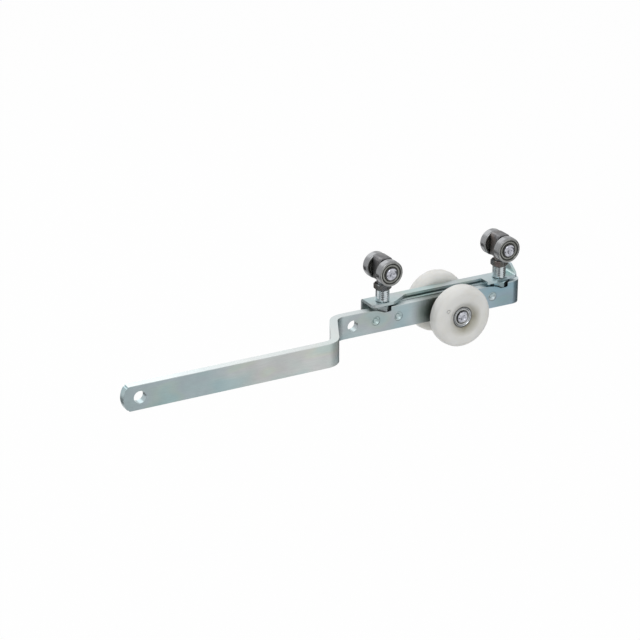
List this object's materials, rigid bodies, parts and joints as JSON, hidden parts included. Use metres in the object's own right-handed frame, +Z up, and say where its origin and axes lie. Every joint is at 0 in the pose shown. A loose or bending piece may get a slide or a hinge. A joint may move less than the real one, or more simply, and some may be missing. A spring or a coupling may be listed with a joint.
{
  "type": "sliding door roller",
  "caption": "Sliding door hanger: an offset flat-bar arm on a carriage with swivelling ball-bearing trolleys above and nylon guide wheels beside it.",
  "frame": {"origin": "on the line where the trolley rollers run on the track's lips, midway between the two swivel pins", "axes": "+X along the track away from the arm's free end, +Y across the track to the side away from the arm's offset, +Z up"},
  "size_m": [0.3614, 0.0765, 0.0795],
  "materials": {
    "zinc_plated_steel": "blue-white zinc plate, satin",
    "rivet_steel": "zinc plate, satin",
    "bright_zinc": "bright zinc plate",
    "dark_steel": "dark oiled steel",
    "bearing_steel": "ground bearing steel",
    "ball_steel": "polished",
    "nylon": "moulded, natural white, slightly translucent"
  },
  "bodies": {
    "carriage": {"arm_bar": "zinc_plated_steel", "carriage_bracket": "zinc_plated_steel", "strap_rivet_1": "rivet_steel", "strap_rivet_2": "rivet_steel", "strap_rivet_3": "rivet_steel", "wheel_axle": "bright_zinc", "axle_spacer": "zinc_plated_steel", "front_wheel_washer": "zinc_plated_steel", "rear_wheel_washer": "zinc_plated_steel", "front_wheel_bearing_inner_ring": "bearing_steel", "rear_wheel_bearing_inner_ring": "bearing_steel", "left_swivel_sleeve": "bright_zinc", "right_swivel_sleeve": "bright_zinc"},
    "front_wheel": {"front_nylon_wheel": "nylon", "front_wheel_bearing_outer_ring": "bearing_steel"},
    "front_wheel_balls": {"front_wheel_bearing_ball_set": "ball_steel"},
    "rear_wheel": {"rear_nylon_wheel": "nylon", "rear_wheel_bearing_outer_ring": "bearing_steel"},
    "rear_wheel_balls": {"rear_wheel_bearing_ball_set": "ball_steel"},
    "left_trolley": {"left_trolley_block": "dark_steel", "left_trolley_axle": "bright_zinc", "left_front_roller_inner_ring": "bearing_steel", "left_rear_roller_inner_ring": "bearing_steel", "left_swivel_stud": "bright_zinc", "left_lock_nut": "dark_steel", "left_foot_nut": "zinc_plated_steel"},
    "left_front_roller": {"left_front_roller_outer_ring": "bearing_steel"},
    "left_front_roller_balls": {"left_front_roller_ball_set": "ball_steel"},
    "left_rear_roller": {"left_rear_roller_outer_ring": "bearing_steel"},
    "left_rear_roller_balls": {"left_rear_roller_ball_set": "ball_steel"},
    "right_trolley": {"right_trolley_block": "dark_steel", "right_trolley_axle": "bright_zinc", "right_front_roller_inner_ring": "bearing_steel", "right_rear_roller_inner_ring": "bearing_steel", "right_swivel_stud": "bright_zinc", "right_lock_nut": "dark_steel", "right_foot_nut": "zinc_plated_steel"},
    "right_front_roller": {"right_front_roller_outer_ring": "bearing_steel"},
    "right_front_roller_balls": {"right_front_roller_ball_set": "ball_steel"},
    "right_rear_roller": {"right_rear_roller_outer_ring": "bearing_steel"},
    "right_rear_roller_balls": {"right_rear_roller_ball_set": "ball_steel"}
  },
  "joints": [
    {"name": "front_wheel_spin", "type": "hinge", "parent": "carriage", "child": "front_wheel", "pos_m": [0.0071, -0.0162, -0.03405], "axis": [0, 1, 0], "continuous": true},
    {"name": "front_wheel_balls_orbit", "type": "hinge", "parent": "carriage", "child": "front_wheel_balls", "pos_m": [0.0071, -0.0162, -0.03405], "axis": [0, 1, 0], "continuous": true},
    {"name": "rear_wheel_spin", "type": "hinge", "parent": "carriage", "child": "rear_wheel", "pos_m": [0.0071, 0.02, -0.03405], "axis": [0, 1, 0], "continuous": true},
    {"name": "rear_wheel_balls_orbit", "type": "hinge", "parent": "carriage", "child": "rear_wheel_balls", "pos_m": [0.0071, 0.02, -0.03405], "axis": [0, 1, 0], "continuous": true},
    {"name": "left_trolley_swivel", "type": "hinge", "parent": "carriage", "child": "left_trolley", "pos_m": [-0.053, 0, 0], "axis": [0, 0, 1], "continuous": true},
    {"name": "left_front_roller_spin", "type": "hinge", "parent": "left_trolley", "child": "left_front_roller", "pos_m": [-0.053, -0.0099, 0.0102], "axis": [0, 1, 0], "continuous": true},
    {"name": "left_front_roller_balls_orbit", "type": "hinge", "parent": "left_trolley", "child": "left_front_roller_balls", "pos_m": [-0.053, -0.0099, 0.0102], "axis": [0, 1, 0], "continuous": true},
    {"name": "left_rear_roller_spin", "type": "hinge", "parent": "left_trolley", "child": "left_rear_roller", "pos_m": [-0.053, 0.0099, 0.0102], "axis": [0, 1, 0], "continuous": true},
    {"name": "left_rear_roller_balls_orbit", "type": "hinge", "parent": "left_trolley", "child": "left_rear_roller_balls", "pos_m": [-0.053, 0.0099, 0.0102], "axis": [0, 1, 0], "continuous": true},
    {"name": "right_trolley_swivel", "type": "hinge", "parent": "carriage", "child": "right_trolley", "pos_m": [0.053, 0, 0], "axis": [0, 0, 1], "continuous": true},
    {"name": "right_front_roller_spin", "type": "hinge", "parent": "right_trolley", "child": "right_front_roller", "pos_m": [0.053, -0.0099, 0.0102], "axis": [0, 1, 0], "continuous": true},
    {"name": "right_front_roller_balls_orbit", "type": "hinge", "parent": "right_trolley", "child": "right_front_roller_balls", "pos_m": [0.053, -0.0099, 0.0102], "axis": [0, 1, 0], "continuous": true},
    {"name": "right_rear_roller_spin", "type": "hinge", "parent": "right_trolley", "child": "right_rear_roller", "pos_m": [0.053, 0.0099, 0.0102], "axis": [0, 1, 0], "continuous": true},
    {"name": "right_rear_roller_balls_orbit", "type": "hinge", "parent": "right_trolley", "child": "right_rear_roller_balls", "pos_m": [0.053, 0.0099, 0.0102], "axis": [0, 1, 0], "continuous": true}
  ],
  "couplings": [
    {"joint": "front_wheel_balls_orbit", "follows": "front_wheel_spin", "ratio": 0.5847},
    {"joint": "rear_wheel_balls_orbit", "follows": "rear_wheel_spin", "ratio": 0.5847},
    {"joint": "left_front_roller_balls_orbit", "follows": "left_front_roller_spin", "ratio": 0.6096},
    {"joint": "left_rear_roller_balls_orbit", "follows": "left_rear_roller_spin", "ratio": 0.6096},
    {"joint": "right_front_roller_balls_orbit", "follows": "right_front_roller_spin", "ratio": 0.6096},
    {"joint": "right_rear_roller_balls_orbit", "follows": "right_rear_roller_spin", "ratio": 0.6096}
  ]
}
